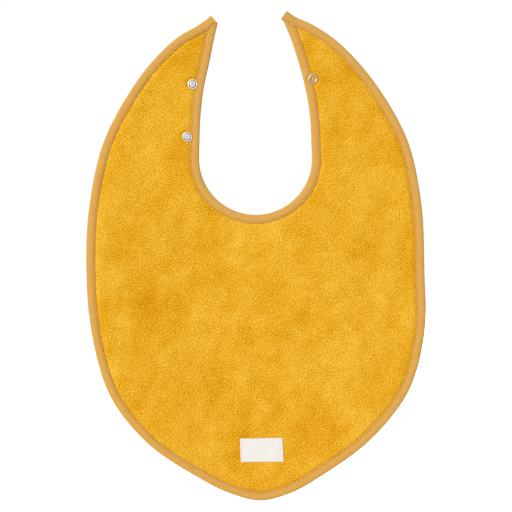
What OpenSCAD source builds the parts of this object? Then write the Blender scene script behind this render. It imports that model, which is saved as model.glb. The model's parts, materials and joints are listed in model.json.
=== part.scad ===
// Baby's bib in terry cloth: two plies bound all round and round the neck, with two
// arms that meet behind the neck on press studs.
// Millimetres. The bib hangs upright: X is the wearer's left to right as seen from the
// front, Y runs from front to back, Z is up. The origin is the centre of the neck arc.

/* [Body] */
// Full width of the bib
body_w = 272; // [240:1:300]
// Drop from the neck centre to the bottom edge
body_drop = 274.7; // [240:0.1:300]
// Height of the arm tips above the neck centre
arm_rise = 118; // [95:1:130]
// Radius of the lower half of the neck edge
neck_r = 45.3; // [38:0.1:52]
// Level of the line where the lower part of the bib folds
lap_fold_z = -170; // [-200:1:-150]

/* [Cloth] */
// Height of the terry front face above the middle plane
terry_h = 1.9; // [1.2:0.1:3]
// Height of the terry where the binding presses it
terry_edge_h = 0.9; // [0.5:0.1:1.2]
// Depth of the backing ply behind the middle plane
backing_h = 1.3; // [0.8:0.1:2]
// Depth of the backing where the binding presses it
backing_edge_h = 0.6; // [0.3:0.1:0.9]
// Clear gap between cloth zones at a fold of an arm
arm_gap = 3.2; // [2.6:0.1:5]
// Clear gap between cloth zones at the lower fold
lap_gap = 4.0; // [3:0.1:6]

/* [Binding] */
// Width of the binding seen from the front
bind_w = 7; // [5:0.1:10]
// Thickness of the binding tape
bind_t = 0.8; // [0.4:0.1:1.2]
// Distance of the seam thread from the bound edge
seam_in = 6.2; // [4:0.1:9]
// Width of the seam thread
thread_w = 0.4; // [0.3:0.05:0.8]
// Height of the seam thread above the binding
thread_h = 0.25; // [0.15:0.05:0.4]

/* [Label] */
// Width of the sewn label
label_w = 34.2; // [25:0.1:45]
// Height of the sewn label
label_h = 19; // [12:0.1:25]
// Turn of the label out of level
label_turn = 1; // [-3:0.5:3]
// Thickness of one layer of the label tape
label_t = 0.2; // [0.1:0.05:0.4]

/* [Press studs] */
// Centre of the upper stud on the left arm
stud_upper = [-50.4, 59.4];
// Centre of the lower stud on the left arm
stud_lower = [-54.7, 17.1];
// Centre of the socket on the right arm
socket_at = [46.2, 63.8];
// Outer radius of every stud, socket and prong ring
snap_r = 4; // [3.5:0.1:5]
// Radius of the stud's head
head_r = 2.15; // [1.8:0.05:2.6]
// Inner radius of the spring in the socket
spring_r = 1.95; // [1.85:0.05:2.1]
// Number of prongs on a prong ring
prongs = 5; // [4:1:8]

/* [Hidden] */
$fn = 48;
far = 400;

// front height and back depth of the binding
bind_front = terry_edge_h + bind_t;
bind_back = backing_edge_h + bind_t;
// the cloth proper starts just inside the binding
inner = bind_w + 0.05;

// fold lines: a point on each and its direction
left_fold = [0, 0];
left_fold_a = 35;
left_tab_fold = [-45, 28];
left_tab_fold_a = -4;
right_fold = [-0.8, -1.3];
right_fold_a = -32.5575;
right_tab_fold = [42.6, 34.2331];
right_tab_fold_a = 5.2994;

// cloth heights under a stud or ring
press_front = 1.1;
press_back = 0.8;
press_r = snap_r + 0.3;
prong_ring_r = 3.1;
prong_r = 0.25;
eye_r = 2.2;

// outline scaled by the driving sizes
sx = body_w / 272;
function place(p) = [p[0] * sx, p[1] > 0 ? p[1] * arm_rise / 118 : p[1] * body_drop / 274.7];

left_edge = [
    [-35.8, 114.7], [-38.5, 112.4], [-44, 108.2], [-62, 97.5], [-82, 78.8],
    [-104, 48.5], [-122, 13], [-132.5, -32], [-135.8, -92], [-131, -144],
    [-115.5, -193], [-87, -228.4], [-49, -254.5], [-19, -269.5]
];
bottom = [3.9, -274.7];
right_edge = [
    [26.5, -269.3], [56, -252.8], [94.5, -223.5], [123, -186.5], [135.8, -138],
    [135.7, -92], [132.5, -32], [122.5, 13], [104, 48.5], [81, 78.8],
    [63, 96], [45.5, 107.4], [28.4, 115.6], [25.2, 118]
];
neck_left = [
    [-30.2, 109.4], [-33.3, 95.6], [-37.2, 76.4], [-41.4, 57.2], [-44, 36]
];
neck_right = [
    [42.9, 40.4], [39.2, 59.6], [34, 78.8], [27.5, 98], [21.7, 111.5]
];

// smooth curve through a row of points
function unit(v) = v / norm(v);
function tangent(k, i) =
    i == 0 ? unit(k[1] - k[0]) :
    i == len(k) - 1 ? unit(k[i] - k[i - 1]) :
    let (a = k[i] - k[i - 1], b = k[i + 1] - k[i], m = norm(a), n = norm(b))
    (b / n * m + a / m * n) / (m + n);
function hermite(p, q, s, t, u) =
    (2 * pow(u, 3) - 3 * u * u + 1) * p + (pow(u, 3) - 2 * u * u + u) * s
    + (3 * u * u - 2 * pow(u, 3)) * q + (pow(u, 3) - u * u) * t;
function curve(k, steps) = concat(
    [for (i = [0 : len(k) - 2], j = [0 : steps - 1])
        let (d = norm(k[i + 1] - k[i]))
        hermite(k[i], k[i + 1], tangent(k, i) * d, tangent(k, i + 1) * d, j / steps)],
    [k[len(k) - 1]]
);

// a path moved sideways: side = 1 to the left of its direction, -1 to the right
function edge_normal(p, i, side) =
    let (e = unit(p[i + 1] - p[i])) side * [-e[1], e[0]];
function moved(p, d, side) = [
    for (i = [0 : len(p) - 1])
        let (
            a = edge_normal(p, max(i - 1, 0), side),
            b = edge_normal(p, min(i, len(p) - 2), side)
        )
        p[i] + (a + b) / (1 + a * b) * d
];

outer_path = curve([for (p = concat(left_edge, [bottom], right_edge)) place(p)], 5);
arc_path = [
    for (a = [182 : 4 : 358]) neck_r * [cos(a), sin(a)]
];
left_start = [neck_r * cos(178), neck_r * sin(178)];
right_end = [neck_r * cos(2), neck_r * sin(2)];
neck_path = concat(
    [place(left_edge[0])],
    curve(concat([for (p = neck_left) place(p)], [left_start]), 4),
    arc_path,
    curve(concat([right_end], [for (p = neck_right) place(p)]), 4),
    [place(right_edge[len(right_edge) - 1])]
);

// solid inside the outer edge, brought in by d, between two heights
module outline(d, low, high) {
    translate([0, 0, low])
        linear_extrude(high - low)
            polygon(moved(outer_path, d, 1));
}

// solid of the neck opening, widened by d, between two heights
module opening(d, low, high) {
    path = moved(neck_path, d, -1);
    translate([0, 0, low])
        linear_extrude(high - low)
            polygon(concat(path, [[path[len(path) - 1][0], 150], [path[0][0], 150]]));
}

// the bib's own shape, brought in by d on every edge
module cloth(d, low, high) {
    difference() {
        outline(d, low, high);
        opening(d, low - 1, high + 1);
    }
}

// everything on the left of a line, from a distance off it
module beyond(at, angle, off) {
    translate([at[0], at[1], -5])
        rotate([0, 0, angle])
            translate([-far, off, 0])
                cube([2 * far, far, 10]);
}

// everything on the right of a line, from a distance off it
module before(at, angle, off) {
    translate([at[0], at[1], -5])
        rotate([0, 0, angle])
            translate([-far, -far - off, 0])
                cube([2 * far, far, 10]);
}

// the six zones between folds
module in_zone(zone) {
    gap = arm_gap / 2;
    intersection() {
        children();
        if (zone == "chest") {
            intersection() {
                before(left_fold, left_fold_a, gap);
                before(right_fold, right_fold_a, gap);
                beyond([0, lap_fold_z], 0, lap_gap / 2);
            }
        } else if (zone == "lap") {
            before([0, lap_fold_z], 0, lap_gap / 2);
        } else if (zone == "left_shoulder") {
            intersection() {
                beyond(left_fold, left_fold_a, gap);
                before(left_tab_fold, left_tab_fold_a, gap);
                beyond([0, 0], 90, 0);
            }
        } else if (zone == "left_tab") {
            intersection() {
                beyond(left_tab_fold, left_tab_fold_a, gap);
                beyond([0, 0], 90, 0);
            }
        } else if (zone == "right_shoulder") {
            intersection() {
                beyond(right_fold, right_fold_a, gap);
                before(right_tab_fold, right_tab_fold_a, gap);
                before([0, 0], 90, 0);
            }
        } else {
            intersection() {
                beyond(right_tab_fold, right_tab_fold_a, gap);
                before([0, 0], 90, 0);
            }
        }
    }
}

// what a fastener presses out of the cloth: a disc on a closed side, a ring on an open
// one, and the prong holes
module dent(open, depth) {
    translate([0, 0, depth])
        difference() {
            cylinder(r = press_r, h = 5);
            if (open)
                translate([0, 0, -1])
                    cylinder(r = eye_r - 0.1, h = 7);
        }
}

module pressing(at, open_front) {
    translate([at[0], at[1], 0]) {
        dent(open_front, press_front);
        rotate([180, 0, 0])
            dent(!open_front, press_back);
        prong_circle()
            translate([0, 0, -5])
                cylinder(r = prong_r + 0.02, h = 10, $fn = 24);
    }
}

module prong_circle() {
    for (i = [0 : prongs - 1])
        rotate([0, 0, 90 + i * 360 / prongs])
            translate([prong_ring_r, 0, 0])
                children();
}

module pressings() {
    pressing(stud_upper, false);
    pressing(stud_lower, false);
    pressing(socket_at, true);
}

// turns the flat lay-out upright, front face to -Y
module upright() {
    rotate([90, 0, 0])
        children();
}

module terry(zone) {
    color([0.92, 0.68, 0.17])
        upright()
            difference() {
                in_zone(zone)
                    union() {
                        cloth(bind_t, 0, terry_edge_h);
                        cloth(inner, terry_edge_h, terry_h);
                    }
                pressings();
            }
}

module backing(zone) {
    color([0.86, 0.62, 0.22])
        upright()
            difference() {
                in_zone(zone)
                    union() {
                        cloth(bind_t, -backing_edge_h, 0);
                        cloth(inner, -backing_h, -backing_edge_h);
                    }
                pressings();
            }
}

module edge_binding(zone) {
    color([0.88, 0.66, 0.34])
        upright()
            in_zone(zone)
                difference() {
                    outline(0, -bind_back, bind_front);
                    outline(bind_w, -3, 3);
                    opening(0, -3, 3);
                    cloth(bind_t, -backing_edge_h, terry_edge_h);
                }
}

module neck_tape(zone) {
    color([0.88, 0.66, 0.34])
        upright()
            difference() {
                in_zone(zone)
                    intersection() {
                        difference() {
                            opening(bind_w, -bind_back, bind_front);
                            opening(0, -3, 3);
                            cloth(bind_t, -backing_edge_h, terry_edge_h);
                        }
                        outline(bind_w, -3, 3);
                    }
                pressings();
            }
}

// one line of thread on one face, along the outer edge and along the neck edge
module seam_line(low, high) {
    near = seam_in - thread_w / 2;
    away = seam_in + thread_w / 2;
    difference() {
        outline(near, low, high);
        outline(away, low - 1, high + 1);
        opening(bind_t, low - 1, high + 1);
    }
    intersection() {
        difference() {
            opening(away, low, high);
            opening(near, low - 1, high + 1);
        }
        outline(bind_w + 0.2, low - 1, high + 1);
    }
}

module seam(zone) {
    color([0.80, 0.56, 0.24])
        upright()
            difference() {
                in_zone(zone)
                    union() {
                        seam_line(bind_front, bind_front + thread_h);
                        seam_line(-bind_back - thread_h, -bind_back);
                    }
                pressings();
                translate([socket_at[0], socket_at[1], 0])
                    cylinder(r = press_r, h = 5);
            }
}

// the label, its short ends tucked under
label_at = [4.9, -233.8];
tuck = 4.5;
label_top = terry_h + 2 * label_t;

module on_label() {
    upright()
        translate([label_at[0], label_at[1], 0])
            rotate([0, 0, label_turn])
                children();
}

module label() {
    color([0.94, 0.93, 0.91])
        on_label() {
            translate([-label_w / 2, -label_h / 2, terry_h + label_t])
                cube([label_w, label_h, label_t]);
            for (s = [0, 1])
                translate([-label_w / 2 + s * (label_w - tuck), -label_h / 2, terry_h])
                    cube([tuck, label_h, label_t]);
        }
}

module label_stitch() {
    stitch = 2.4;
    pitch = 3.1;
    color([0.97, 0.96, 0.94])
        on_label()
            for (s = [-1, 1], i = [-2.5 : 1 : 2.5])
                translate([s * (label_w / 2 - 1.6), i * pitch, label_top + 0.075])
                    cube([0.35, stitch, 0.15], center = true);
}

// stud: a flange with a channel for the prongs, a neck and a head with a dimple
neck_low = 2.2;
head_low = 3.15;
head_high = 3.7;

module stud(at) {
    color([0.78, 0.78, 0.80])
        upright()
            translate([at[0], at[1], 0])
                rotate_extrude()
                    polygon([
                        [0, press_front], [2.7, press_front], [2.7, 1.7], [3.6, 1.7],
                        [3.6, press_front], [snap_r - 0.1, press_front], [snap_r, 1.3],
                        [snap_r, 1.7], [snap_r - 0.15, 2.05], [snap_r - 0.5, neck_low],
                        [3.0, 2.05], [2.5, 2.0], [1.8, neck_low - 0.1],
                        [1.8, head_low - 0.1], [head_r, head_low], [head_r, head_high],
                        [head_r - 0.15, head_high + 0.1], [1.2, head_high + 0.1],
                        [0.9, head_high - 0.2], [0, head_high - 0.2]
                    ]);
}

// prong ring seen from its outer side: a rounded ring with prongs through the cloth
module prong_ring_shape(seat, reach) {
    mid = (snap_r + eye_r) / 2;
    half = (snap_r - eye_r) / 2;
    rotate_extrude()
        polygon(concat(
            [[eye_r, seat], [snap_r, seat]],
            [for (a = [0 : 15 : 180]) [mid + half * cos(a), seat + 0.3 + 0.6 * sin(a)]]
        ));
    prong_circle()
        translate([0, 0, -reach])
            cylinder(r = prong_r, h = reach + seat + 0.2, $fn = 24);
}

module front_ring(at) {
    color([0.80, 0.80, 0.82])
        upright()
            translate([at[0], at[1], 0])
                prong_ring_shape(press_front, press_back + 0.45);
}

module back_ring(at) {
    color([0.80, 0.80, 0.82])
        upright()
            translate([at[0], at[1], 0])
                mirror([0, 0, 1])
                    prong_ring_shape(press_back, press_front + 0.45);
}

// socket: a floor, a channel for the prongs, a cavity and a groove for the spring
groove_low = 2.4;
groove_high = 2.8;
mouth = 3;

module at_socket() {
    upright()
        translate([socket_at[0], socket_at[1], 0])
            mirror([0, 0, 1])
                children();
}

module right_socket() {
    color([0.76, 0.76, 0.78])
        at_socket()
            rotate_extrude()
                polygon([
                    [0, press_back], [2.7, press_back], [2.7, 1.4], [3.6, 1.4],
                    [3.6, press_back], [snap_r, press_back], [snap_r, 1.5],
                    [snap_r - 0.2, 1.75], [3.5, 1.9], [3.35, 2.6], [3.1, mouth],
                    [2.3, mouth], [2.3, groove_high], [2.65, groove_high],
                    [2.65, groove_low], [2.4, groove_low], [2.4, 1.3], [0, 1.3]
                ]);
}

module right_socket_spring() {
    color([0.86, 0.86, 0.88])
        at_socket()
            difference() {
                translate([0, 0, groove_low + 0.02])
                    cylinder(r = 2.55, h = groove_high - groove_low - 0.04);
                cylinder(r = spring_r, h = 5);
                linear_extrude(5)
                    polygon([[0, 0], [4, -4 * tan(20)], [4, 4 * tan(20)]]);
            }
}

module front_panel_chest() { terry("chest"); }
module front_panel_lap() { terry("lap"); }
module front_panel_left_shoulder() { terry("left_shoulder"); }
module front_panel_left_tab() { terry("left_tab"); }
module front_panel_right_shoulder() { terry("right_shoulder"); }
module front_panel_right_tab() { terry("right_tab"); }
module back_panel_chest() { backing("chest"); }
module back_panel_lap() { backing("lap"); }
module back_panel_left_shoulder() { backing("left_shoulder"); }
module back_panel_left_tab() { backing("left_tab"); }
module back_panel_right_shoulder() { backing("right_shoulder"); }
module back_panel_right_tab() { backing("right_tab"); }
module outer_binding_chest() { edge_binding("chest"); }
module outer_binding_lap() { edge_binding("lap"); }
module outer_binding_left_shoulder() { edge_binding("left_shoulder"); }
module outer_binding_left_tab() { edge_binding("left_tab"); }
module outer_binding_right_shoulder() { edge_binding("right_shoulder"); }
module outer_binding_right_tab() { edge_binding("right_tab"); }
module neck_binding_chest() { neck_tape("chest"); }
module neck_binding_left_shoulder() { neck_tape("left_shoulder"); }
module neck_binding_left_tab() { neck_tape("left_tab"); }
module neck_binding_right_shoulder() { neck_tape("right_shoulder"); }
module neck_binding_right_tab() { neck_tape("right_tab"); }
module seam_thread_chest() { seam("chest"); }
module seam_thread_lap() { seam("lap"); }
module seam_thread_left_shoulder() { seam("left_shoulder"); }
module seam_thread_left_tab() { seam("left_tab"); }
module seam_thread_right_shoulder() { seam("right_shoulder"); }
module seam_thread_right_tab() { seam("right_tab"); }
module left_upper_stud() { stud(stud_upper); }
module left_upper_prong_ring() { back_ring(stud_upper); }
module left_lower_stud() { stud(stud_lower); }
module left_lower_prong_ring() { back_ring(stud_lower); }
module right_prong_ring() { front_ring(socket_at); }

front_panel_chest();
front_panel_lap();
front_panel_left_shoulder();
front_panel_left_tab();
front_panel_right_shoulder();
front_panel_right_tab();
back_panel_chest();
back_panel_lap();
back_panel_left_shoulder();
back_panel_left_tab();
back_panel_right_shoulder();
back_panel_right_tab();
outer_binding_chest();
outer_binding_lap();
outer_binding_left_shoulder();
outer_binding_left_tab();
outer_binding_right_shoulder();
outer_binding_right_tab();
neck_binding_chest();
neck_binding_left_shoulder();
neck_binding_left_tab();
neck_binding_right_shoulder();
neck_binding_right_tab();
seam_thread_chest();
seam_thread_lap();
seam_thread_left_shoulder();
seam_thread_left_tab();
seam_thread_right_shoulder();
seam_thread_right_tab();
label();
label_stitch();
left_upper_stud();
left_upper_prong_ring();
left_lower_stud();
left_lower_prong_ring();
right_prong_ring();
right_socket();
right_socket_spring();
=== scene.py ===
import json

import bpy
import numpy as np
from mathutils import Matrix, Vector

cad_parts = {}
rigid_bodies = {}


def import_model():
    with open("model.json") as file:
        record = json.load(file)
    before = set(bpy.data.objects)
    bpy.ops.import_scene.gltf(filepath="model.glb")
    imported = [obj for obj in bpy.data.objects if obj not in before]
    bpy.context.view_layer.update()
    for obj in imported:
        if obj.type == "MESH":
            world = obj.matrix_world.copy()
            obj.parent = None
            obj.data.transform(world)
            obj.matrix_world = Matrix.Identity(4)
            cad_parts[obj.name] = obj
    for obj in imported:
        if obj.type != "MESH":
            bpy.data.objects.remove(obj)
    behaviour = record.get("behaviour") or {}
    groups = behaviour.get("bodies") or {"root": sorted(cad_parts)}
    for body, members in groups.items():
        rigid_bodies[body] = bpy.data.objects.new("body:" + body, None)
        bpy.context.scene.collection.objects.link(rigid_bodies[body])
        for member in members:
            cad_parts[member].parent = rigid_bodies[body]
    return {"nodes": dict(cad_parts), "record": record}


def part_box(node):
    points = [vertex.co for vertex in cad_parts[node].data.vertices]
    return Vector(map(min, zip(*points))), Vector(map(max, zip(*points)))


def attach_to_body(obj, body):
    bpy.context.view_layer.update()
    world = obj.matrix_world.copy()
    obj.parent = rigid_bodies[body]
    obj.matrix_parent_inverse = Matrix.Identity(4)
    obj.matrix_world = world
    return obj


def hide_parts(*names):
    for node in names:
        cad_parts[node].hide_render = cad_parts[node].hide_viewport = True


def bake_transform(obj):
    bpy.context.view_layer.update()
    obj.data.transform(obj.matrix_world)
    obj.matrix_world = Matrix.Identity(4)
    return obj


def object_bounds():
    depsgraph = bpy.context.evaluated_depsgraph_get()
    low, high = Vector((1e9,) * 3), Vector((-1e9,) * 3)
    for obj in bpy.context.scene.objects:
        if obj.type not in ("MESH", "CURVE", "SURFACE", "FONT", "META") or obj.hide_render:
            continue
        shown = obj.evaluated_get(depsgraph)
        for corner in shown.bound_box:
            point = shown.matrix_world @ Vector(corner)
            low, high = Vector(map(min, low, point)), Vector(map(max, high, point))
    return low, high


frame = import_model()
cad_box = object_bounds()

# Shapes are worked out in millimetres as (x, z) in the plane of the cloth and h, the
# height in front of its middle plane. MM turns them into metres, and h into -y.
MM = 0.001
ZONES = ["chest", "lap", "left_shoulder", "left_tab", "right_shoulder", "right_tab"]
RECORD = frame["record"]
JOINTS = {j["name"]: j for j in RECORD["behaviour"]["joints"]}
MOUNTS = {m["name"]: m for m in RECORD["mounts"]}
RNG = np.random.default_rng(7)

GRID = 0.7  # pitch of the terry mesh
LINE_STEP = 3.0  # pitch of the lines that distances are taken from
PATH_STEP = 0.6  # pitch of the rings of a tape
BIND_W = 7.0  # visible width of the binding
SEAM_IN = 6.2  # seam thread, from the bound edge
CLOTH_IN = 5.6  # where the cloth ends under the binding
SNAP_R = 4.0  # outer radius of every stud and ring
LOOP_PITCH, LOOP_LONG, LOOP_WIDE = 1.05, 0.95, 0.45  # terry loops
STITCH_PITCH, STITCH_LONG, STITCH_R = 2.4, 1.872, 0.2
LABEL_SIZE = np.array([34.2, 19.0])
LABEL_TURN, LABEL_LEAN = np.radians(1.0), 0.03
LABEL_TUCK = 1.6  # the fold line and stitches, from each short end
LABEL_STITCH_PITCH, LABEL_STITCH_LONG, LABEL_STITCH_R = 3.1, 2.4, 0.17
UV_UNIT = 100  # mm to one unit of every UV map
ALBEDO = 0.86  # how far photo colours are dimmed for the light of this scene
LABEL_ALBEDO = 0.84
SKY = 0.55


# ---------------------------------------------------------------- outline from the CAD

def wall_corners(node):
    """Where the node's walls run the full depth of the binding: (x, z)."""
    mesh = frame["nodes"][node].data
    co = np.array([v.co for v in mesh.vertices]) / MM
    ends = np.array([e.vertices[:] for e in mesh.edges])
    a, b = co[ends[:, 0]], co[ends[:, 1]]
    depth = co[:, 1].max() - co[:, 1].min()
    gap = np.abs(a - b)
    upright = (gap[:, [0, 2]].max(1) < 1e-3) & (gap[:, 1] > 0.95 * depth)
    return np.unique(np.round(a[upright][:, [0, 2]], 3), axis=0)


def polar_order(points):
    """Points from the left arm's tip, round under the neck, to the right arm's tip."""
    turn = np.degrees(np.arctan2(points[:, 1], points[:, 0])) % 360
    turn[turn < 90] += 360
    return points[np.argsort(turn)]


def outlines():
    """The outer edge and the neck edge, both from the left tip to the right tip."""
    outer, neck = [], [wall_corners(f"neck_binding_{z}") for z in ZONES if z != "lap"]
    for zone in ZONES:
        points = wall_corners(f"outer_binding_{zone}")
        if zone.endswith("_tab"):
            tip = points[points[:, 1].argmax()]
            neck_side = np.abs(points[:, 0]) < abs(tip[0]) - 0.01
            neck.append(points[neck_side])
            points = points[~neck_side]
        outer.append(points)
    outer, neck = polar_order(np.vstack(outer)), polar_order(np.vstack(neck))
    # the channel the outer tape cuts through the neck tape's ends is no edge
    return outer, neck[distance(neck, outer) > BIND_W + 0.2]


def along(path):
    """How far along the path each of its points is."""
    return np.r_[0, np.cumsum(np.linalg.norm(np.diff(path, axis=0), axis=1))]


def smooth_path(path, pitch):
    """The path at an even pitch, on a smooth curve through its points."""
    keep = np.r_[True, np.diff(along(path)) > 1.0]
    keep[-1] = True
    path = path[keep]
    s = along(path)
    h = np.diff(s)[:, None]
    d = np.diff(path, axis=0) / h
    mid = (d[1:] * h[:-1] + d[:-1] * h[1:]) / (h[1:] + h[:-1])
    slope = np.vstack([d[:1], mid, d[-1:]])
    at = np.linspace(0, s[-1], int(round(s[-1] / pitch)) + 1)
    i = np.clip(np.searchsorted(s, at, "right") - 1, 0, len(s) - 2)
    w = (s[i + 1] - s[i])[:, None]
    u = (at - s[i])[:, None] / w
    return (
        (2 * u**3 - 3 * u**2 + 1) * path[i] + (u**3 - 2 * u**2 + u) * w * slope[i]
        + (3 * u**2 - 2 * u**3) * path[i + 1] + (u**3 - u**2) * w * slope[i + 1]
    )


def inward(path, side):
    """Unit normals into the cloth along a path."""
    t = np.gradient(path, axis=0)
    t /= np.linalg.norm(t, axis=1)[:, None]
    return side * np.c_[-t[:, 1], t[:, 0]]


def distance(points, path):
    """Distance from each point to the path."""
    a, d = path[:-1], np.diff(path, axis=0)
    length = (d**2).sum(1)
    out = np.empty(len(points))
    for k in range(0, len(points), 4000):
        p = points[k : k + 4000, None]
        t = np.clip(((p - a) * d).sum(2) / length, 0, 1)
        out[k : k + 4000] = np.sqrt((((a + t[..., None] * d) - p) ** 2).sum(2).min(1))
    return out


def inside(points, loop):
    """Which points are inside a closed loop."""
    x, z = points.T
    found = np.zeros(len(points), bool)
    for (x1, z1), (x2, z2) in zip(loop, np.roll(loop, -1, axis=0)):
        if z1 != z2:
            crosses = (z1 > z) != (z2 > z)
            found ^= crosses & (x < (x2 - x1) * (z - z1) / (z2 - z1) + x1)
    return found


def step(v, low, high):
    """0 up to low, 1 from high on, smooth between them."""
    t = np.clip((v - low) / (high - low), 0, 1)
    return t * t * (3 - 2 * t)


OUTER, NECK = outlines()
OUTER_LINE, NECK_LINE = smooth_path(OUTER, LINE_STEP), smooth_path(NECK, LINE_STEP)
CUT_LEFT = np.array([OUTER[0], NECK[0]])
CUT_RIGHT = np.array([OUTER[-1], NECK[-1]])


def mount_xz(name):
    return np.array(MOUNTS[name]["pos_m"])[[0, 2]] / MM


STUDS = [mount_xz("upper_stud_head"), mount_xz("lower_stud_head")]
SOCKET = mount_xz("socket_bore")


def fastener_distance(p):
    """Distance from each point to the nearest fastener."""
    return np.min([np.linalg.norm(p - at, axis=1) for at in STUDS + [SOCKET]], axis=0)


# ---------------------------------------------------------------- zones and folds

class Fold:
    """A fold line, with how far its bend reaches and where its two pieces part.

    `start`, `end` and `split` are distances from the joint's axis towards its child.
    """

    def __init__(self, joint, start, end, split):
        j = JOINTS[joint]
        axis = np.array(j["axis"])[[0, 2]]
        self.at = np.array(j["pos_m"])[[0, 2]] / MM
        self.start, self.end, self.split = start, end, split
        self.bodies = (j["parent"], j["child"])
        low, high = (np.array(v)[[0, 2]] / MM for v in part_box("front_panel_" + j["child"]))
        across = np.array([axis[1], -axis[0]])
        self.towards = across * np.sign(((low + high) / 2 - self.at) @ across)

    def off(self, p):
        return (p - self.at) @ self.towards

    def point(self, off):
        x, z = (self.at + off * self.towards) * MM
        return (x, 0, z)


FOLDS = {
    "lap": Fold("lap_fold", -30, 30, -35),
    "left_shoulder": Fold("left_wrap", -20, 20, -21),
    "left_tab": Fold("left_tab_wrap", -5, 19, -6),
    "right_shoulder": Fold("right_wrap", -20, 20, -21),
    "right_tab": Fold("right_tab_wrap", -14, 14, -15),
}


def zone_of(p):
    """The zone number of each point, from its side of each parting line."""
    zone = np.zeros(len(p), int)
    zone[FOLDS["lap"].off(p) > FOLDS["lap"].split] = 1
    for k, sign in ((2, -1), (4, 1)):
        arm, tab = FOLDS[ZONES[k]], FOLDS[ZONES[k + 1]]
        on_arm = (p[:, 0] * sign > 0) & (arm.off(p) > arm.split)
        zone[on_arm] = k
        zone[on_arm & (tab.off(p) > tab.split)] = k + 1
    return zone


def attach(obj, zone):
    """The chest piece rides on the chest body; every other piece stays where it is, its
    transform baked into its points.
    """
    if zone == "chest":
        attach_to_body(obj, "chest")
    else:
        f = FOLDS[zone]
        f.point(f.start)
        f.point(f.end)
        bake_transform(obj)


# ---------------------------------------------------------------- noise fields

class Field:
    """Values on a fine grid over the bib, read anywhere between its points."""

    low = np.array([-150.0, -290.0])
    shape = (600, 840)
    pitch = 0.5

    def __init__(self, values):
        self.values = values

    @classmethod
    def noise(cls, size, stretch=1.0, turn=0.0):
        """Gaussian noise of unit spread; size in mm, longer along a turned axis."""
        out = cls.smoothed(RNG.standard_normal(cls.shape), size, stretch, turn)
        return cls(out / out.std())

    @classmethod
    def smoothed(cls, values, size, stretch=1.0, turn=0.0):
        """Values with everything smaller than a size taken out."""
        fx = np.fft.fftfreq(cls.shape[0], cls.pitch)[:, None]
        fz = np.fft.rfftfreq(cls.shape[1], cls.pitch)[None]
        c, s = np.cos(np.radians(turn)), np.sin(np.radians(turn))
        u, v = (c * fx + s * fz) * stretch, -s * fx + c * fz
        keep = np.exp(-2 * (np.pi * size) ** 2 * (u**2 + v**2))
        return np.fft.irfft2(np.fft.rfft2(values) * keep, cls.shape)

    def at(self, p):
        q = (p - self.low) / self.pitch
        i = np.clip(q.astype(int), 0, np.array(self.shape) - 2)
        f = np.clip(q - i, 0, 1)
        v = self.values
        return (
            v[i[:, 0], i[:, 1]] * (1 - f[:, 0]) * (1 - f[:, 1])
            + v[i[:, 0] + 1, i[:, 1]] * f[:, 0] * (1 - f[:, 1])
            + v[i[:, 0], i[:, 1] + 1] * (1 - f[:, 0]) * f[:, 1]
            + v[i[:, 0] + 1, i[:, 1] + 1] * f[:, 0] * f[:, 1]
        )


def loops():
    """Terry pile: short loops lying every way, each a small long bump."""
    shape, pitch = Field.shape, Field.pitch
    out = np.zeros(shape)
    size = np.array(shape) * pitch
    rows = [np.arange(0, side, LOOP_PITCH) for side in size]
    gx, gz = np.meshgrid(*rows, indexing="ij")
    centre = np.c_[gx.ravel(), gz.ravel()]
    centre += RNG.random(centre.shape) * LOOP_PITCH
    turn = RNG.random(len(centre)) * np.pi
    tall = 0.4 + RNG.random(len(centre))
    first = (centre / pitch).astype(int)
    for di in range(-3, 4):
        for dj in range(-3, 4):
            i, j = first[:, 0] + di, first[:, 1] + dj
            d = np.c_[i, j] * pitch - centre
            u = d[:, 0] * np.cos(turn) + d[:, 1] * np.sin(turn)
            v = d[:, 1] * np.cos(turn) - d[:, 0] * np.sin(turn)
            bump = tall * np.exp(-((u / LOOP_LONG) ** 2) - (v / LOOP_WIDE) ** 2)
            ok = (i >= 0) & (i < shape[0]) & (j >= 0) & (j < shape[1])
            np.maximum.at(out, (i[ok], j[ok]), bump[ok])
    out -= out.mean()
    out -= Field.smoothed(out, 0.8)
    return Field(out / out.std())


PILE = loops()
GRAIN = Field.noise(0.35)
CLUMP = Field.noise(2.2)
NAP = Field.noise(4.6, 1.9, 65)
WIDE = Field.noise(24)
PUCKER = Field.noise(3.0, 0.35, 50)


def wave(p):
    """How far the whole cloth stands off its middle plane.

    It is flat at the fasteners and nearly so on the arms, which lie on one another when
    the bib is closed: there the left one keeps back, the right one forward, and the
    tips flick away from each other.
    """
    arms = step(p[:, 1], -15, 30)
    out = 0.5 * WIDE.at(p) * (1 - 0.85 * arms) + 0.3 * np.sign(p[:, 0]) * arms
    for at in STUDS + [SOCKET]:
        out *= step(np.linalg.norm(p - at, axis=1), 7, 28)
    for cut, lift in ((CUT_LEFT, -1.1), (CUT_RIGHT, 0.9)):
        out += lift * (1 - step(distance(p, cut), 0, 11))
    return out


# ---------------------------------------------------------------- mesh building

def volume(co, faces):
    """Signed volume between the faces and the origin."""
    total = 0.0
    for k in range(1, faces.shape[1] - 1):
        a, b, c = co[faces[:, 0]], co[faces[:, k]], co[faces[:, k + 1]]
        total += (a * np.cross(b, c)).sum() / 6
    return total


def point_normals(co, faces):
    """Unit normals at the points, averaged over the faces round each."""
    out = np.zeros((len(co), 3))
    for f in faces:
        a, b = co[f[:, 2]] - co[f[:, 0]], co[f[:, -1]] - co[f[:, 1]]
        across = np.cross(a, b)
        for k in range(f.shape[1]):
            np.add.at(out, f[:, k], across)
    return out / np.maximum(np.linalg.norm(out, axis=1), 1e-20)[:, None]


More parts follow.
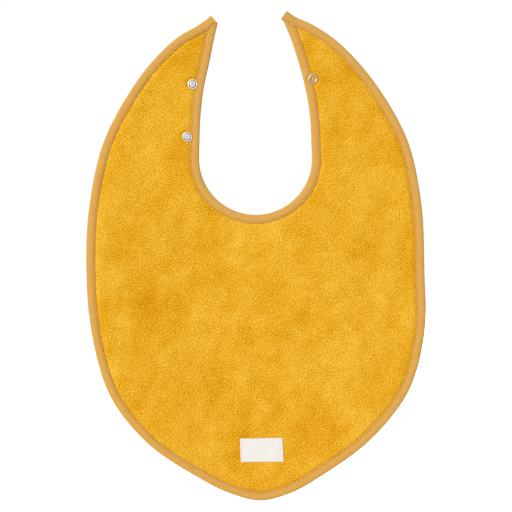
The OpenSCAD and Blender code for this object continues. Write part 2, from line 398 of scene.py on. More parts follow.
def make_mesh(name, zone, material, xzh, faces, cut=(), uv=None, values=None, normals=None):
    """A closed object from (x, z, h) points and face arrays.

    The `cut` faces are where a piece parts from its neighbour: they get points of their
    own, so that the shading runs on from one piece to the next.
    """
    xzh = np.asarray(xzh, float)
    uv = xzh[:, :2] if uv is None else uv
    source = np.arange(len(xzh))
    for f in cut:
        points, joined = used(f)
        faces = faces + [joined + len(source)]
        source = np.r_[source, points]
    co = np.c_[xzh[:, 0], -xzh[:, 2], xzh[:, 1]][source] * MM
    if sum(volume(co, f) for f in faces) < 0:
        faces = [f[:, ::-1] for f in faces]
    sizes = np.concatenate([np.full(len(f), f.shape[1]) for f in faces])
    corners = np.concatenate([f.ravel() for f in faces])
    mesh = bpy.data.meshes.new(name)
    mesh.vertices.add(len(co))
    mesh.vertices.foreach_set("co", co.ravel())
    mesh.loops.add(len(corners))
    mesh.loops.foreach_set("vertex_index", corners.astype(np.int32))
    mesh.polygons.add(len(sizes))
    mesh.polygons.foreach_set("loop_start", (np.cumsum(sizes) - sizes).astype(np.int32))
    mesh.polygons.foreach_set("loop_total", sizes.astype(np.int32))
    mesh.update(calc_edges=True)
    mesh.polygons.foreach_set("use_smooth", np.ones(len(sizes), bool))
    layer = mesh.uv_layers.new(name="rest")
    layer.data.foreach_set("uv", (uv[source][corners] / UV_UNIT).ravel())
    for key, v in (values or {}).items():
        layer = mesh.attributes.new(key, "FLOAT", "POINT")
        layer.data.foreach_set("value", v[source].astype(np.float32))
    if mesh.validate(verbose=False):
        print("mesh corrected:", name)
    if normals is not None:
        out = point_normals(co, faces)
        out[: len(normals)] = np.c_[normals[:, 0], -normals[:, 2], normals[:, 1]]
        mesh.normals_split_custom_set_from_vertices(out.tolist())
    mesh.materials.append(material)
    obj = bpy.data.objects.new(name, mesh)
    bpy.context.scene.collection.objects.link(obj)
    attach(obj, zone)
    return obj


def grid_quads(shape):
    """Quads between the points of a grid, numbered row by row."""
    number = np.arange(shape[0] * shape[1]).reshape(shape)
    return np.stack(
        [number[:-1, :-1], number[1:, :-1], number[1:, 1:], number[:-1, 1:]], axis=2
    )


def rim_wall(quads, n):
    """The wall that joins a layer's rim to the layer whose points come n later."""
    rim = edge_loops(quads)
    return np.c_[rim[:, 1], rim[:, 0], rim[:, 0] + n, rim[:, 1] + n]


def used(faces):
    """The points that faces use, and the faces in their numbering."""
    points, index = np.unique(faces.ravel(), return_inverse=True)
    return points, index.reshape(faces.shape)


def edge_loops(quads):
    """The edges that only one quad has, in that quad's direction."""
    edges = np.stack([quads, np.roll(quads, -1, axis=1)], axis=2).reshape(-1, 2)
    key = np.sort(edges, axis=1)
    _, first, count = np.unique(key, axis=0, return_index=True, return_counts=True)
    return edges[first[count == 1]]


# ---------------------------------------------------------------- the two plies

class Sheet:
    """A grid of points over the cloth, its rim drawn onto a line under the binding."""

    def __init__(self, pitch):
        xs = np.arange(-140, 140, pitch)
        zs = np.arange(-280, 122, pitch)
        gx, gz = np.meshgrid(xs, zs, indexing="ij")
        p = np.c_[gx.ravel(), gz.ravel()]
        p += (RNG.random(p.shape) - 0.5) * 0.35 * pitch
        region = np.vstack([OUTER_LINE, NECK_LINE[::-1]])
        live = np.flatnonzero(inside(p, region))
        edge = np.full(len(p), -1.0)
        edge[live] = self.edge_distance(p[live])
        quads = grid_quads(gx.shape)
        points, quads = used(quads[(edge >= CLOTH_IN)[quads].all(2)])
        self.p, self.quads = p[points], quads
        rim = np.unique(edge_loops(quads))
        near = 0.05
        for _ in range(3):
            d = self.edge_distance(self.p[rim])
            slope = np.stack([
                self.edge_distance(self.p[rim] + e) - d for e in ([near, 0], [0, near])
            ], axis=1) / near
            slope /= np.maximum(np.linalg.norm(slope, axis=1), 0.5)[:, None]
            self.p[rim] -= np.clip(d - CLOTH_IN, -pitch, pitch)[:, None] * slope
        self.edge = self.edge_distance(self.p)
        self.zone = zone_of(self.p[quads].mean(1))

    @staticmethod
    def edge_distance(p):
        d = np.minimum(distance(p, OUTER_LINE), distance(p, NECK_LINE))
        return np.minimum(d, np.minimum(distance(p, CUT_LEFT), distance(p, CUT_RIGHT)))

    def piece(self, name, zone, material, outer, inner, values):
        """A closed slab over a zone between two heights, shaded as the whole sheet."""
        facing = np.sign((outer - inner).mean())
        normals = []
        for h, sign in ((outer, facing), (inner, -facing)):
            n = point_normals(np.c_[self.p, h], [self.quads])
            normals.append(n * np.sign(n[:, 2:].mean()) * sign)
        points, quads = used(self.quads[self.zone == ZONES.index(zone)])
        n = len(points)
        flat = self.p[points]
        return make_mesh(
            name, zone, material,
            np.vstack([np.c_[flat, outer[points]], np.c_[flat, inner[points]]]),
            [np.vstack([quads, quads[:, ::-1] + n])], cut=[rim_wall(quads, n)],
            values={k: np.tile(v[points], 2) for k, v in values.items()},
            normals=np.vstack([side[points] for side in normals]),
        )


def press(p, front):
    """0 where a fastener holds the cloth down, 1 away from it.

    A stud's flange and the socket are closed discs; the rings behind them are open.
    """
    out = np.ones(len(p))
    for at, closed in [(at, front) for at in STUDS] + [(SOCKET, not front)]:
        r = np.linalg.norm(p - at, axis=1)
        held = step(r, SNAP_R + 0.1, SNAP_R + 2.6)
        if not closed:
            held = np.maximum(held, 1 - step(r, 1.2, 2.1))
        out = np.minimum(out, held)
    return out


LABEL_LOW, LABEL_HIGH = (np.array(v)[[0, 2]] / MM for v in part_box("label"))
LABEL_AT = (LABEL_LOW + LABEL_HIGH) / 2
LABEL_DIR = np.array([np.cos(LABEL_TURN), np.sin(LABEL_TURN)])
LABEL_UP = np.array([-LABEL_DIR[1], LABEL_DIR[0]])


def under_label(p):
    """1 under the label, 0 outside it."""
    d = p - LABEL_AT
    out = np.abs(np.c_[d @ LABEL_DIR, d @ LABEL_UP]) - LABEL_SIZE / 2
    return 1 - step(out.max(1), -1.2, 0.9)


def terry_height(p, edge):
    """Front of the terry: pile, pressed down at the binding, fasteners and label."""
    rise = step(edge, 6.7, 9.4)
    puff = 0.22 * step(edge, 8, 12) * (1 - step(edge, 14, 30))
    pile = 0.16 * PILE.at(p) + 0.02 * GRAIN.at(p) + 0.10 * NAP.at(p)
    held = press(p, True)
    flat = under_label(p)
    full = 1.75 + puff + pile * (0.35 + 0.65 * held) * (1 - 0.85 * flat) - 0.25 * flat
    low = np.minimum(0.85 + 0.1 * pile, full)
    h = low + (full - low) * rise
    return 1.0 + (h - 1.0) * np.where(rise > 0, held, 1)


def backing_depth(p, edge):
    """How far behind the middle plane the back ply reaches."""
    rise = step(edge, 6.8, 9.0)
    full = 0.6 + (0.65 + 0.05 * GRAIN.at(p) + 0.06 * CLUMP.at(p)) * rise
    return 0.75 + (full - 0.75) * np.where(rise > 0, press(p, False), 1)


def build_cloth():
    gap = 0.02  # half the gap between the two plies
    sheet = Sheet(GRID)
    p, off = sheet.p, wave(sheet.p)
    front = off + terry_height(p, sheet.edge)
    values = {
        # pile colour: painted shade in the gaps between loops, painted highlight on their
        # tops
        "pile": 0.5 + 0.14 * PILE.at(p) + 0.03 * GRAIN.at(p),
        # patches where the pile lies differently, their paler colour a painted sheen
        "nap_sheen": 0.5 + 0.27 * NAP.at(p) + 0.05 * WIDE.at(p) + 0.18 * CLUMP.at(p),
    }
    for zone in ZONES:
        obj = sheet.piece(
            f"terry_{zone}", zone, MATERIALS["terry"], front, off + gap, values
        )
        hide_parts(f"front_panel_{zone}")
    sheet = Sheet(2 * GRID)
    off = wave(sheet.p)
    back = off - backing_depth(sheet.p, sheet.edge)
    for zone in ZONES:
        obj = sheet.piece(
            f"backing_{zone}", zone, MATERIALS["backing"], back, off - gap, {}
        )
        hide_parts(f"back_panel_{zone}")


# ---------------------------------------------------------------- bindings

# cross-section of the folded tape: how far in from the edge as a share of its width, and
# the height; round the front, the fold and the back, then inside against the cloth
SECTION = np.array([
    (1.00, 1.12), (1.00, 1.38), (0.975, 1.58), (0.935, 1.68), (0.905, 1.60),
    (0.885, 1.52), (0.865, 1.60), (0.82, 1.76), (0.74, 1.87), (0.60, 1.93),
    (0.44, 1.93), (0.28, 1.84), (0.15, 1.62), (0.06, 1.22), (0.012, 0.68),
    (0.00, 0.15), (0.012, -0.38), (0.06, -0.88), (0.15, -1.26), (0.28, -1.46),
    (0.44, -1.55), (0.62, -1.55), (0.78, -1.48), (0.86, -1.34), (0.885, -1.26),
    (0.91, -1.34), (0.96, -1.36), (1.00, -1.20), (1.00, -0.85),
    (0.60, -0.62), (0.14, -0.55), (0.14, 0.80), (0.60, 0.92),
])
SHARE, HEIGHT = SECTION.T
SKIN = np.arange(len(SECTION)) < 29  # the points that can be seen
FRONT_SEAM, BACK_SEAM = 5, 24  # the points where the stitches lie
FRONT_FACE, BACK_FACE = np.arange(3, 14), np.arange(17, 28)


def section_cap():
    """Triangles that close the cross-section, from its outer points to its inner ones."""
    faces = []
    fans = ((0, 8, 32), (8, 14, 31), (14, 20, 30), (20, 28, 29))
    for first, last, hub in fans:
        faces += [(i, hub, i + 1) for i in range(first, last)]
    faces += [(last, hub, hub - 1) for _, last, hub in fans[:-1]]
    return np.array(faces)


CAP = section_cap()


class Tape:
    """A binding tape folded over one edge of the cloth, as rings along its path."""

    def __init__(self, line, side, other, outer):
        self.outer = outer
        self.path = smooth_path(line, PATH_STEP)
        self.s = along(self.path)
        self.ends = np.minimum(self.s, self.s[-1] - self.s)
        self.n = inward(self.path, side)
        self.width = BIND_W + 0.12 * np.sin(self.s / 17.0) + 0.10 * np.sin(self.s / 7.3 + 1)
        if outer:
            self.width += 0.85 * (1 - step(self.ends, 3, 12))
        reach = (self.width[:, None] * SHARE)[..., None]
        self.p = self.path[:, None] + reach * self.n[:, None]
        self.zone = zone_of(self.path + 0.5 * BIND_W * self.n)
        self.other = distance(self.p.reshape(-1, 2), other).reshape(self.p.shape[:2])
        self.h = self.heights()

    def heights(self):
        """Height of every point; the depth of the needle holes goes to self.hole."""
        shape = self.p.shape[:2]
        flat = self.p.reshape(-1, 2)
        h = np.tile(HEIGHT, (len(self.s), 1))
        # each stitch draws the tape in, and small puckers run from the seam to the edge
        pull = np.exp(-(((SHARE - SEAM_IN / BIND_W) / 0.11) ** 2)) * SKIN
        pucker = PUCKER.at(flat).reshape(shape) * 0.07 * np.minimum(SHARE * 3, 1) * SKIN
        hole = (0.5 + 0.5 * np.cos(2 * np.pi * self.s / STITCH_PITCH)) ** 2
        self.hole = hole[:, None] * pull
        change = pucker - 0.10 * pull - 0.22 * self.hole
        for sign, rows in ((1, HEIGHT > 0.15), (-1, HEIGHT <= 0.15)):
            h[:, rows] += sign * change[:, rows]
        if self.outer:
            # it rides over the neck tape's ends at the tips
            lift = 0.42 * (1 - step(self.other, 6.5, 9.5)) * SKIN
            h += np.sign(h) * lift * step(np.abs(h), 0.2, 0.8)
        else:
            # its ends lie flat under the outer tape
            flat_h = np.clip(h, -0.62, 0.93)
            h = np.where(SKIN, flat_h + (h - flat_h) * step(self.other, 6.4, 7.6), h)
        r = fastener_distance(flat).reshape(shape)
        held = step(r, SNAP_R + 0.05, SNAP_R + 1.6)
        pressed = np.clip(h, -0.76, 1.05)
        h = pressed + (h - pressed) * held
        return h + wave(flat).reshape(shape)

    def pieces(self, name, node):
        """One closed piece of tape in each zone, capped where it is cut."""
        rings = len(SHARE)
        girth = along(np.c_[SHARE * BIND_W, HEIGHT])
        run, round_ = np.repeat(self.s, rings), np.tile(girth, len(self.s))
        # cut on the bias, so its threads cross the edge slantwise
        uv = np.c_[run + round_, run - round_] / np.sqrt(2)
        xzh = np.concatenate([self.p, self.h[..., None]], axis=2).reshape(-1, 3)
        column = np.arange(rings)
        # the neck tape stops short under the outer one
        keep = self.ends > (-1 if self.outer else 0.5)
        for k, zone in enumerate(ZONES):
            cells = np.flatnonzero((self.zone[:-1] == k) & keep[:-1] & keep[1:])
            if not len(cells):
                continue
            a = cells[:, None] * rings + column
            b = cells[:, None] * rings + np.roll(column, -1)
            quads = np.stack([a, b, b + rings, a + rings], axis=2).reshape(-1, 4)
            runs = np.split(cells, np.flatnonzero(np.diff(cells) > 1) + 1)
            caps = np.vstack([
                cap for run in runs
                for cap in (CAP + run[0] * rings, CAP[:, ::-1] + (run[-1] + 1) * rings)
            ])
            points, joined = used(np.concatenate([quads.ravel(), caps.ravel()])[:, None])
            obj = make_mesh(
                f"{name}_{zone}", zone, MATERIALS["binding"], xzh[points],
                [joined[: quads.size].reshape(-1, 4)],
                cut=[joined[quads.size :].reshape(-1, 3)],
                # the needle hole depth also darkens the tape there, as painted shade
                uv=uv[points], values={"hole": self.hole.ravel()[points]},
            )
            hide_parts(f"{node}_{zone}")


def build_bindings():
    outer = Tape(OUTER, 1, NECK_LINE, outer=True)
    neck = Tape(NECK, -1, OUTER_LINE, outer=False)
    outer.pieces("edge_tape", "outer_binding")
    neck.pieces("neck_tape", "neck_binding")
    return outer, neck


# ---------------------------------------------------------------- stitches

STITCH_SIDES = 6
STITCH_T = np.array([-0.86, -0.5, 0.0, 0.5, 0.86])  # rings along half its length


def stitch_shapes(centre, direction, front, length, r):
    """One rounded stitch per row, its ends sunk: the points, and the faces on them."""
    across = np.c_[-direction[:, 1], direction[:, 0]]
    ring = np.arange(STITCH_SIDES) * 2 * np.pi / STITCH_SIDES
    points = []
    for t in STITCH_T:
        fat, sink = r * np.sqrt(1 - t**4), 0.30 * t**4
        middle = centre[:, :2] + direction * (t * length / 2)
        for a in ring:
            h = centre[:, 2] + front * (fat * np.sin(a) - sink)
            points.append(np.c_[middle + across * (fat * np.cos(a)), h])
    for t in (-1, 1):
        xz = centre[:, :2] + direction * (t * length / 2)
        points.append(np.c_[xz, centre[:, 2] - front * 0.34])
    points = np.stack(points, axis=1)
    k, m = len(STITCH_T), STITCH_SIDES
    quads = [
        (i * m + j, i * m + (j + 1) % m, (i + 1) * m + (j + 1) % m, (i + 1) * m + j)
        for i in range(k - 1) for j in range(m)
    ]
    tips = [(k * m, (j + 1) % m, j) for j in range(m)]
    tips += [(k * m + 1, (k - 1) * m + j, (k - 1) * m + (j + 1) % m) for j in range(m)]
    base = (np.arange(len(centre)) * points.shape[1])[:, None, None]
    faces = [(np.array(f)[None] + base).reshape(-1, len(f[0])) for f in (quads, tips)]
    return points.reshape(-1, 3), faces


def seam_stitches(tape):
    """Centre, direction and side of every stitch of one seam."""
    rows = []
    count = int(tape.s[-1] / STITCH_PITCH)
    i = np.searchsorted(tape.s, (np.arange(1, count) + 0.5) * STITCH_PITCH)
    i = i[(i > 2) & (i < len(tape.s) - 3)]
    # none where the two tapes lie on one another
    i = i[tape.ends[i] > 7.5] if tape.outer else i[tape.other[i, FRONT_SEAM] > 7.9]
    t = np.gradient(tape.path, axis=0)[i]
    t /= np.linalg.norm(t, axis=1)[:, None]
    for column, front in ((FRONT_SEAM, 1), (BACK_SEAM, -1)):
        centre = np.c_[tape.p[i, column], tape.h[i, column] + front * 0.13]
        clear = fastener_distance(centre[:, :2]) > SNAP_R + 1.3
        wobble = RNG.normal(0, 0.05, (len(i), 2))
        turn = RNG.normal(0, 0.05, len(i))
        d = np.c_[t[:, 0] - turn * t[:, 1], t[:, 1] + turn * t[:, 0]]
        centre[:, :2] += wobble
        rows.append((centre[clear], d[clear], np.full(clear.sum(), front)))
    return rows


def tip_bar(tape, last):
    """The short row of stitches across a tape's folded tail, on both sides."""
    i = int(np.searchsorted(tape.s, 7.6))
    i = len(tape.s) - 1 - i if last else i
    across = tape.n[i]
    rows = []
    for face, front in ((FRONT_FACE, 1), (BACK_FACE, -1)):
        for d in (1.6, 3.8, 6.0):
            column = face[np.argmin(np.abs(SHARE[face] - d / tape.width[i]))]
            centre = np.r_[tape.path[i] + across * d, tape.h[i, column] + front * 0.10]
            rows.append((centre[None], across[None], np.array([front])))
    return rows


def build_seams(tapes):
    rows = [r for tape in tapes for r in seam_stitches(tape)]
    rows += tip_bar(tapes[0], False) + tip_bar(tapes[0], True)
    centre, direction, front = (np.concatenate(column) for column in zip(*rows))
    zones = zone_of(centre[:, :2])
    for k, zone in enumerate(ZONES):
        m = zones == k
        obj = make_mesh(
            f"stitches_{zone}", zone, MATERIALS["thread"],
            *stitch_shapes(centre[m], direction[m], front[m], STITCH_LONG, STITCH_R),
        )
        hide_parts(f"seam_thread_{zone}")


# ---------------------------------------------------------------- label

def label_point(u, v):
    """The (x, z) point at u along the label and v up it, from its centre."""
    lean = u - LABEL_LEAN * v
    return LABEL_AT + lean[..., None] * LABEL_DIR + v[..., None] * LABEL_UP


def build_label():
    """A woven tape label: ends folded under, edges a little off the pile."""
    half = LABEL_SIZE / 2
    inset = np.array([0, 0.25, 0.6, 1.2])
    u = np.linspace(-half[0] + 2, half[0] - 2, 39)
    u = np.r_[-half[0] + inset, u, half[0] - inset[::-1]]
    v = np.linspace(-half[1] + 1.2, half[1] - 1.2, 21)
    v = np.r_[-half[1] + inset[:3], v, half[1] - inset[2::-1]]
    gu, gv = np.meshgrid(u, v, indexing="ij")
    # the label is a little taller at its right end
    taper = 0.012 * gu / half[0]
    p = (label_point(gu, gv) + (gv * taper)[..., None] * LABEL_UP).reshape(-1, 2)
    end, side = half[0] - np.abs(gu), half[1] - np.abs(gv)
    top = 2.22 + (0.04 * CLUMP.at(p) + 0.05 * NAP.at(p)).reshape(gu.shape)
    top += 0.10 * np.exp(-end / 1.0) + 0.10 * np.exp(-side / 1.6)
    top -= 0.20 * np.exp(-(((end - LABEL_TUCK) / 0.5) ** 2))
    round_end = np.sqrt(np.clip(1 - (1 - np.clip(end / 0.45, 0, 1)) ** 2, 0, 1))
    thick = 0.16 + 0.24 * round_end * (end < 6)
    middle = top - 0.10 - 0.5 * thick + wave(p).reshape(gu.shape)
    spread = 0.5 * thick * np.clip(round_end + 0.15, 0, 1)
    high, low = middle + spread, middle - spread - 0.02
    quads = grid_quads(gu.shape).reshape(-1, 4)
    xzh = np.vstack([np.c_[p, high.ravel()], np.c_[p, low.ravel()]])
    obj = make_mesh(
        "label_tape", "lap", MATERIALS["label"], xzh,
        [quads, quads[:, ::-1] + gu.size, rim_wall(quads, gu.size)],
        uv=np.tile(np.c_[gu.ravel(), gv.ravel()], (2, 1)),
    )
    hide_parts("label")

    # one row of stitches down each short end
    su, sv = (g.ravel() for g in np.meshgrid(
        np.array([-1, 1]) * (half[0] - LABEL_TUCK),
        np.arange(-2.5, 3) * LABEL_STITCH_PITCH, indexing="ij",
    ))
    i = np.abs(u[:, None] - su).argmin(0)
    j = np.abs(v[:, None] - sv).argmin(0)
    centre = np.c_[label_point(su, sv), high[i, j] + 0.06]
    direction = np.tile(LABEL_UP, (len(su), 1))
    obj = make_mesh(
        "label_stitches", "lap", MATERIALS["label_thread"],
        *stitch_shapes(
            centre, direction, np.ones(len(su)), LABEL_STITCH_LONG, LABEL_STITCH_R
        ),
    )
    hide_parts("label_stitch")


# ---------------------------------------------------------------- materials

def linear(r, g, b, scale=1.0):
    """sRGB 0..255 to linear, for a colour seen under the scene's light."""
    c = np.array([r, g, b]) / 255
    c = np.where(c <= 0.04045, c / 12.92, ((c + 0.055) / 1.055) ** 2.4) * scale
    return (*c, 1.0)


class Material:
    """A node material, built by naming nodes and wiring their sockets."""

    def __init__(self, name):
        self.mat = bpy.data.materials.new(name)
        self.mat.use_nodes = True
        self.tree = self.mat.node_tree
        self.bsdf = self.tree.nodes["Principled BSDF"]
        self.uv = self.add("ShaderNodeUVMap").outputs[0]

    def add(self, kind, inputs=None, **props):
        node = self.tree.nodes.new(kind)
        for key, value in props.items():
            setattr(node, key, value)
        for key, value in (inputs or {}).items():
            self.set(node.inputs[key], value)
        return node

    def set(self, socket, value):
        if isinstance(value, bpy.types.NodeSocket):
            self.tree.links.new(value, socket)
        else:
            socket.default_value = value

    def attribute(self, name):
        return self.add("ShaderNodeAttribute", attribute_name=name).outputs["Fac"]

    def math(self, operation, *values):
        node = self.add("ShaderNodeMath", operation=operation)
        for socket, value in zip(node.inputs, values):
            self.set(socket, value)
        return node.outputs[0]

    def vector(self, operation, *values):
        node = self.add("ShaderNodeVectorMath", operation=operation)
        for socket, value in zip(node.inputs, values):
            self.set(socket, value)
        return node

    def noise(self, size, detail=2.0, at=None):
        """Noise of a given size in mm."""
        return self.add(
            "ShaderNodeTexNoise",
            {"Vector": at or self.uv, "Scale": UV_UNIT / size, "Detail": detail},
        ).outputs[0]

    def cells(self, size, stray):
        """Distance from the middle of irregular cells, bent by up to `stray` mm."""
        bend = self.add("ShaderNodeTexNoise", {"Vector": self.uv, "Scale": UV_UNIT / 2.5})
        reach = (2 * stray / UV_UNIT,) * 3
        shifted = self.vector("MULTIPLY_ADD", bend.outputs[1], reach, self.uv).outputs[0]
        return self.add(
            "ShaderNodeTexVoronoi", {"Vector": shifted, "Scale": UV_UNIT / size},
            voronoi_dimensions="2D",
        ).outputs["Distance"]

    def bands(self, pitch, direction, distortion):
        """Even ridges of a given pitch in mm along X, Y or both of the UV map."""
        return self.add(
            "ShaderNodeTexWave",
            {"Vector": self.uv, "Scale": UV_UNIT * np.pi / 10 / pitch,
             "Distortion": distortion},
            wave_type="BANDS", bands_direction=direction,
        ).outputs[1]

    def ramp(self, value, stops):
        node = self.add("ShaderNodeValToRGB", {"Fac": value})
        band = node.color_ramp
        while len(band.elements) < len(stops):
            band.elements.new(0.5)
        for element, (at, colour) in zip(band.elements, stops):
            element.position, element.color = at, colour
        return node.outputs[0]

    def tint(self, colour, value, low, high):
        """Colour made darker or lighter by a 0..1 value."""
        factor = self.add(
            "ShaderNodeMapRange", {"Value": value, "To Min": low, "To Max": high}
        ).outputs[0]
        node = self.add("ShaderNodeHueSaturation", {"Color": colour, "Value": factor})
        return node.outputs[0]

    def bump(self, height, strength, depth, under=None):
        node = self.add(
            "ShaderNodeBump",
            {"Height": height, "Strength": strength, "Distance": depth * MM},
        )
        if under is not None:
            self.set(node.inputs["Normal"], under)
        return node.outputs[0]

    def finish(self, **inputs):
        for key, value in inputs.items():
            self.set(self.bsdf.inputs[key.replace("_", " ")], value)
        return self.mat


def terry_material():
    m = Material("terry_pile")
    pile, nap_sheen = m.attribute("pile"), m.attribute("nap_sheen")
    # the colour follows the pile: painted shade in the gaps between loops and painted
    # highlight on the loop tops, from pile height, loop cells and fine noise
    loop = m.cells(1.0, 0.7)
    hair = m.noise(0.95, 0)
    pile_light_and_shade = m.math("MULTIPLY_ADD", m.math("SUBTRACT", loop, 0.45), -0.25, pile)
    pile_light_and_shade = m.math("MULTIPLY_ADD", m.math("SUBTRACT", hair, 0.5), 1.2, pile_light_and_shade)
    # the nap patches add a painted sheen
    pile_light_and_shade = m.math("MULTIPLY_ADD", m.math("SUBTRACT", nap_sheen, 0.5), 0.2, pile_light_and_shade)
    # from the painted shade colour through the cloth's own ochre to the painted highlight
    # colour
    colour = m.ramp(pile_light_and_shade, [
        (0.0, linear(200, 128, 0, ALBEDO)), (0.5, linear(234, 171, 26, ALBEDO)),
        (1.0, linear(254, 208, 88, ALBEDO)),
    ])
    bump = m.bump(hair, 0.5, 0.5, m.bump(loop, 0.4, -0.2))
    return m.finish(
        Base_Color=colour, Roughness=0.95, Normal=bump, Sheen_Weight=0.12,
        Sheen_Roughness=0.5, Sheen_Tint=linear(255, 200, 90), Specular_IOR_Level=0.05,
    )


def backing_material():
    m = Material("backing_knit")
    ribs, rows = m.bands(1.1, "X", 0.6), m.bands(0.8, "Y", 0.6)
    knit = m.math("ADD", ribs, m.math("MULTIPLY", rows, 0.5))
    shade = m.tint(linear(226, 163, 48, ALBEDO), m.noise(14, 3), 0.92, 1.06)
    shade = m.tint(shade, m.math("MULTIPLY", knit, 0.66), 0.93, 1.04)
    bump = m.bump(m.noise(0.5, 2), 0.2, 0.2, m.bump(knit, 0.5, 0.15))
    return m.finish(
        Base_Color=shade, Roughness=0.9, Normal=bump, Sheen_Weight=0.15,
        Specular_IOR_Level=0.15,
    )


def woven_material(name, colour, pitch, depth, sheen=0.1):
    """Plain weave: warp and weft ridges that take turns on top, with painted shade in the
    needle holes.
    """
    m = Material(name)
    warp = m.math("SUBTRACT", m.bands(2 * pitch, "X", 0.3), 0.5)
    weft = m.math("SUBTRACT", m.bands(2 * pitch, "Y", 0.3), 0.5)
    weave = m.math("MULTIPLY_ADD", m.math("MULTIPLY", warp, weft), 2.0, 0.5)
    drawn_out = m.vector("MULTIPLY", m.uv, (0.25, 1, 1)).outputs[0]
    slub = m.noise(1.6, 2, drawn_out)
    shade = m.tint(colour, m.noise(6, 3), 0.93, 1.06)
    shade = m.tint(shade, slub, 0.94, 1.06)
    shade = m.tint(shade, weave, 0.94, 1.03)
    # painted shade: the tape is darkened in its needle holes
    shade = m.tint(shade, m.attribute("hole"), 1.0, 0.72)
    bump = m.bump(slub, 0.25, 0.2, m.bump(weave, 0.45, depth))
    return m.finish(
        Base_Color=shade, Roughness=0.82, Normal=bump, Sheen_Weight=sheen,
        Specular_IOR_Level=0.25,
    )


def thread_material(name, colour):
    m = Material(name)
    twist = m.bands(0.5, "DIAGONAL", 0.2)
    shade = m.tint(m.tint(colour, m.noise(3, 2), 0.92, 1.06), twist, 0.9, 1.05)
    return m.finish(
        Base_Color=shade, Roughness=0.7, Normal=m.bump(twist, 0.5, 0.1),
        Specular_IOR_Level=0.3,
    )


def metal_material(name, colour, at, shade_rings):
    """Plated metal, spun about `at`, with painted shade in rings over its grooves and
    dimples.
    """
    m = Material(name)
    place = m.add("ShaderNodeTexCoord").outputs["Object"]
    offset = m.vector("SUBTRACT", place, (at[0] * MM, 0, at[1] * MM)).outputs[0]
    flat = m.vector("MULTIPLY", offset, (1 / MM, 0, 1 / MM)).outputs[0]
    r = m.vector("LENGTH", flat).outputs["Value"]
    wear, spots = (
        m.add("ShaderNodeTexNoise", {"Vector": place, "Scale": scale, "Detail": detail})
        .outputs[0] for scale, detail in ((900, 3), (260, 2))
    )
    spun = m.math("SINE", m.math("MULTIPLY", r, 2 * np.pi / 0.22))
    shade = m.tint((*colour, 1), spots, 0.88, 1.04)
    # painted shade: each ring over a groove or dimple is darkened
    for radius, width in shade_rings:
        away = m.math("DIVIDE", m.math("SUBTRACT", r, radius), width)
        square = m.math("MULTIPLY", away, away)
        groove_shade = m.math("EXPONENT", m.math("MULTIPLY", square, -1.0))
        shade = m.tint(shade, groove_shade, 1.0, 0.3)
    roughness = m.math("MULTIPLY_ADD", wear, 0.2, 0.36)
    bump = m.bump(wear, 0.15, 0.05, m.bump(spun, 0.1, 0.02))
    return m.finish(Base_Color=shade, Metallic=1.0, Roughness=roughness, Normal=bump)


def stage_material():
    """A pale floor that the camera itself sees as plain white."""
    m = Material("pale_floor")
    colour = m.tint(linear(244, 244, 244), m.noise(60, 2), 0.99, 1.01)
    seen = m.add("ShaderNodeLightPath").outputs["Is Camera Ray"]
    return m.finish(
        Base_Color=colour, Roughness=0.9, Specular_IOR_Level=0.0,
        Emission_Color=(1, 1, 1, 1), Emission_Strength=seen,
    )


NICKEL = (0.84, 0.78, 0.74)
# the socket's nickel, warmed by a painted reflection of the ochre cloth
NICKEL_WITH_PAINTED_CLOTH_REFLECTION = (0.86, 0.71, 0.54)
# painted shade rings for the studs: the groove round the head and the dimple in its middle
STUD_SHADE_RINGS = ((2.65, 0.35), (0, 0.55))
MATERIALS = {
    "terry": terry_material(),
    "backing": backing_material(),
    "binding": woven_material("binding_cotton", linear(221, 166, 78, ALBEDO), 0.5, 0.12),
    "label": woven_material(
        "label_satin", linear(242, 240, 235, LABEL_ALBEDO), 0.4, 0.05, 0.2
    ),
    "thread": thread_material("seam_thread", linear(236, 190, 104, ALBEDO)),
    "label_thread": thread_material("label_thread", linear(236, 234, 228, LABEL_ALBEDO)),
    "upper_stud": metal_material("upper_stud_nickel", NICKEL, STUDS[0], STUD_SHADE_RINGS),
    "lower_stud": metal_material("lower_stud_nickel", NICKEL, STUDS[1], STUD_SHADE_RINGS),
    "socket": metal_material("socket_nickel", NICKEL_WITH_PAINTED_CLOTH_REFLECTION, SOCKET, ((3.1, 0.4),)),
    "spring": metal_material("spring_steel", NICKEL, SOCKET, ()),
    "stage": stage_material(),
}


def finish_fasteners():
    """The press studs keep their CAD shape and get plated metal."""
    for name, obj in frame["nodes"].items():
        parts = name.split("_")
        if "stud" in parts or "ring" in parts or "socket" in parts:
            kind = "socket" if parts[0] == "right" else f"{parts[1]}_stud"
            obj.data.materials.clear()
            obj.data.materials.append(MATERIALS["spring" if "spring" in parts else kind])


# ---------------------------------------------------------------- stage, light, camera

def build_stage():
    below, half, rows = 0.012, 4.0, 24
    xs = np.linspace(-half, half, rows)
    verts = [(x, y, cad_box[0][2] - below) for x in xs for y in xs]
    faces = [
        (i * rows + j, (i + 1) * rows + j, (i + 1) * rows + j + 1, i * rows + j + 1)
        for i in range(rows - 1) for j in range(rows - 1)
    ]
    mesh = bpy.data.meshes.new("floor")
    mesh.from_pydata(verts, [], faces)
    mesh.uv_layers.new(name="rest")
    mesh.materials.append(MATERIALS["stage"])
    floor = bpy.data.objects.new("floor", mesh)
    bpy.context.scene.collection.objects.link(floor)


def soft_sun(name, towards, strength, spread):
    """Light as even as a big window's, falling along `towards`."""
    data = bpy.data.lights.new(name, "SUN")
    data.energy, data.angle = strength, np.radians(spread)
    light = bpy.data.objects.new(name, data)
    light.rotation_euler = Vector(towards).to_track_quat("-Z", "Y").to_euler()
    bpy.context.scene.collection.objects.link(light)


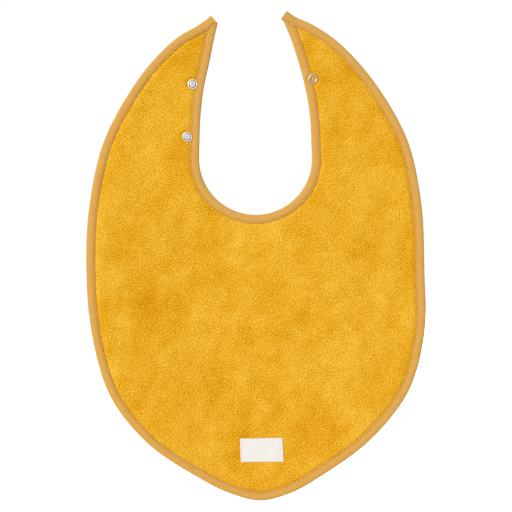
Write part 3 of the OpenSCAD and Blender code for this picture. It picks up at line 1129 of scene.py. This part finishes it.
def build_world():
    """White to the camera; a soft sky, darker below, for everything it lights."""
    world = bpy.data.worlds.new("studio")
    bpy.context.scene.world = world
    world.use_nodes = True
    tree = world.node_tree
    tree.nodes.clear()
    new, link = tree.nodes.new, tree.links.new
    out, mix = new("ShaderNodeOutputWorld"), new("ShaderNodeMixShader")
    white, sky = new("ShaderNodeBackground"), new("ShaderNodeBackground")
    white.inputs["Color"].default_value = (1, 1, 1, 1)
    white.inputs["Strength"].default_value = 1.02
    sky.inputs["Strength"].default_value = SKY
    coord, parts = new("ShaderNodeTexCoord"), new("ShaderNodeSeparateXYZ")
    path, ramp = new("ShaderNodeLightPath"), new("ShaderNodeValToRGB")
    stops = ((0.25, (0.55, 0.55, 0.56, 1)), (0.8, (1, 1, 1, 1)))
    for element, (at, colour) in zip(ramp.color_ramp.elements, stops):
        element.position, element.color = at, colour
    # from -1..1, straight down to straight up, to 0..1
    scale = new("ShaderNodeMath")
    scale.operation = "MULTIPLY_ADD"
    scale.inputs[1].default_value = 0.5
    scale.inputs[2].default_value = 0.5
    link(coord.outputs["Generated"], parts.inputs[0])
    link(parts.outputs["Z"], scale.inputs[0])
    link(scale.outputs[0], ramp.inputs[0])
    link(ramp.outputs[0], sky.inputs["Color"])
    link(path.outputs["Is Camera Ray"], mix.inputs[0])
    link(sky.outputs[0], mix.inputs[1])
    link(white.outputs[0], mix.inputs[2])
    link(mix.outputs[0], out.inputs[0])


def build_camera():
    """Square-on from the front, with the bib's height in the picture as in the photo."""
    low, high = (np.array(v) for v in cad_box)
    centre = (low + high) / 2
    data = bpy.data.cameras.new("camera")
    data.lens, data.sensor_width = 100, 36
    share = 0.9587
    away = (high[2] - low[2]) / share * data.lens / data.sensor_width
    camera = bpy.data.objects.new("camera", data)
    camera.location = (centre[0], low[1] - away, centre[2])
    camera.rotation_euler = (np.pi / 2, 0, 0)
    bpy.context.scene.collection.objects.link(camera)
    bpy.context.scene.camera = camera


build_cloth()
build_seams(build_bindings())
build_label()
finish_fasteners()
build_stage()
build_world()
soft_sun("window", (0.75, 1, -0.55), 2.36, 30)
soft_sun("room", (-0.5, -1, -0.7), 0.75, 60)
build_camera()
bpy.context.scene.view_settings.view_transform = "Standard"
